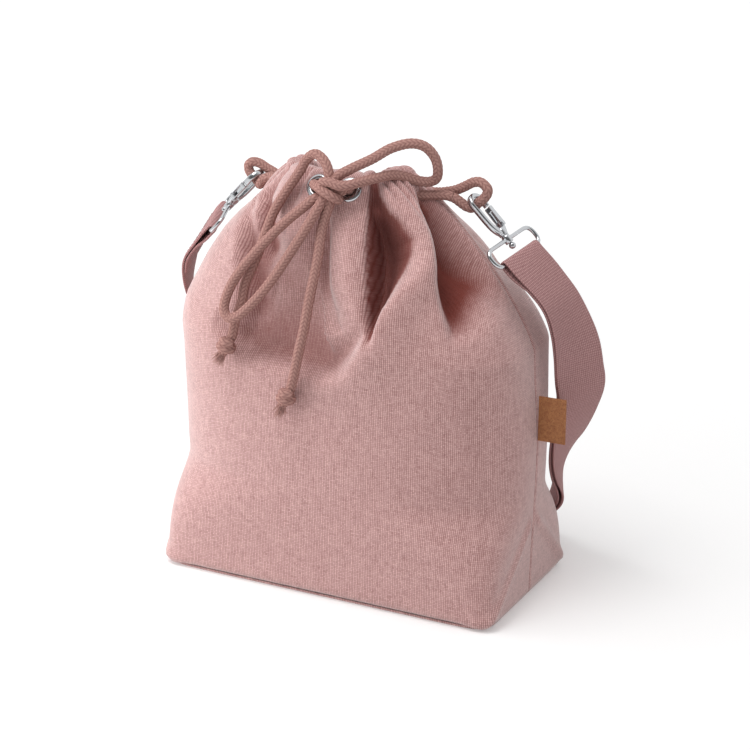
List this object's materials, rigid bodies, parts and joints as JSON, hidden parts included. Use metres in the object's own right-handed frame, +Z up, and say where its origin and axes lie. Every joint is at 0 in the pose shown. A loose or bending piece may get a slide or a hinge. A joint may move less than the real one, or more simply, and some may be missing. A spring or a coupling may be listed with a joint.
{
  "type": "insulated lunch bag",
  "caption": "Soft insulated lunch bag: a rectangular base, a mouth gathered by a drawcord tied in a bow at eyelets, and a webbing shoulder strap clipped to the cord's side loops by swivel hooks.",
  "frame": {"origin": "centre of the base's underside, on the surface that the bag stands on", "axes": "+Z up, +X to the bag's right as it is looked at from the front, -Y out of the front with the eyelets and bow, and the strap hangs behind the bag on the +Y side"},
  "size_m": [0.3304, 0.2037, 0.3248],
  "materials": {
    "cloth": "dusty pink linen-look plain weave",
    "foam": "closed-cell foam sheet",
    "lining": "wipe-clean foil-faced lining",
    "cord": "round braided cord",
    "webbing": "woven strap webbing",
    "nickel": "bright nickel plate",
    "cork": "cork cloth"
  },
  "bodies": {
    "bag": {"front_panel": "cloth", "back_panel": "cloth", "base_panel": "cloth", "insulation_base": "foam", "insulation_wall": "foam", "lining_base": "lining", "lining_wall": "lining", "mouth_facing_front": "cloth", "mouth_facing_back": "cloth", "eyelet_left": "nickel", "eyelet_right": "nickel", "eyelet_washer_left": "nickel", "eyelet_washer_right": "nickel", "side_tab": "cork", "drawcord_run_back": "cord", "drawcord_run_left": "cord", "drawcord_run_right": "cord", "side_loop_left": "cord", "side_loop_right": "cord", "lace_left": "cord", "lace_right": "cord", "bow_knot": "cord", "bow_loop_left": "cord", "bow_loop_right": "cord", "bow_tail_left": "cord", "bow_tail_right": "cord", "tail_knot_left": "cord", "tail_knot_right": "cord"},
    "strap": {"shoulder_strap": "webbing", "strap_ring_left": "nickel", "strap_ring_right": "nickel"},
    "right_hook": {"hook_body_right": "nickel", "gate_pin_right": "nickel", "gate_spring_right": "nickel", "swivel_stud_right": "nickel"},
    "left_hook": {"hook_body_left": "nickel", "gate_pin_left": "nickel", "gate_spring_left": "nickel", "swivel_stud_left": "nickel"},
    "right_gate": {"hook_gate_right": "nickel"},
    "left_gate": {"hook_gate_left": "nickel"},
    "slider": {"strap_slider": "nickel", "strap_end_loop": "webbing"}
  },
  "joints": [
    {"name": "strap_swing", "type": "hinge", "parent": "bag", "child": "strap", "pos_m": [0, 0, 0.2806], "axis": [1, 0, 0], "range_deg": [0, 165], "deforming": ["side_loop_right", "side_loop_left"]},
    {"name": "right_hook_swivel", "type": "hinge", "parent": "strap", "child": "right_hook", "pos_m": [0.109, 0, 0.258], "axis": [-0.7071, 0, 0.7071], "continuous": true, "deforming": ["side_loop_right"]},
    {"name": "left_hook_swivel", "type": "hinge", "parent": "strap", "child": "left_hook", "pos_m": [-0.109, 0, 0.258], "axis": [0.7071, 0, 0.7071], "continuous": true, "deforming": ["side_loop_left"]},
    {"name": "right_gate_pivot", "type": "hinge", "parent": "right_hook", "child": "right_gate", "pos_m": [0.10135, 0.00557, 0.26647], "axis": [0.7032, -0.1045, 0.7032], "range_deg": [0, 25], "stiffness_Nm_per_rad": 0.02, "springref_deg": -20.05, "deforming": ["gate_spring_right"]},
    {"name": "left_gate_pivot", "type": "hinge", "parent": "left_hook", "child": "left_gate", "pos_m": [-0.10135, -0.00557, 0.26647], "axis": [-0.7032, 0.1045, 0.7032], "range_deg": [0, 25], "stiffness_Nm_per_rad": 0.02, "springref_deg": -20.05, "deforming": ["gate_spring_left"]},
    {"name": "slider_slide", "type": "slide", "parent": "strap", "child": "slider", "axis": [1, 0, 0], "range_m": [-0.012, 0.012]}
  ]
}
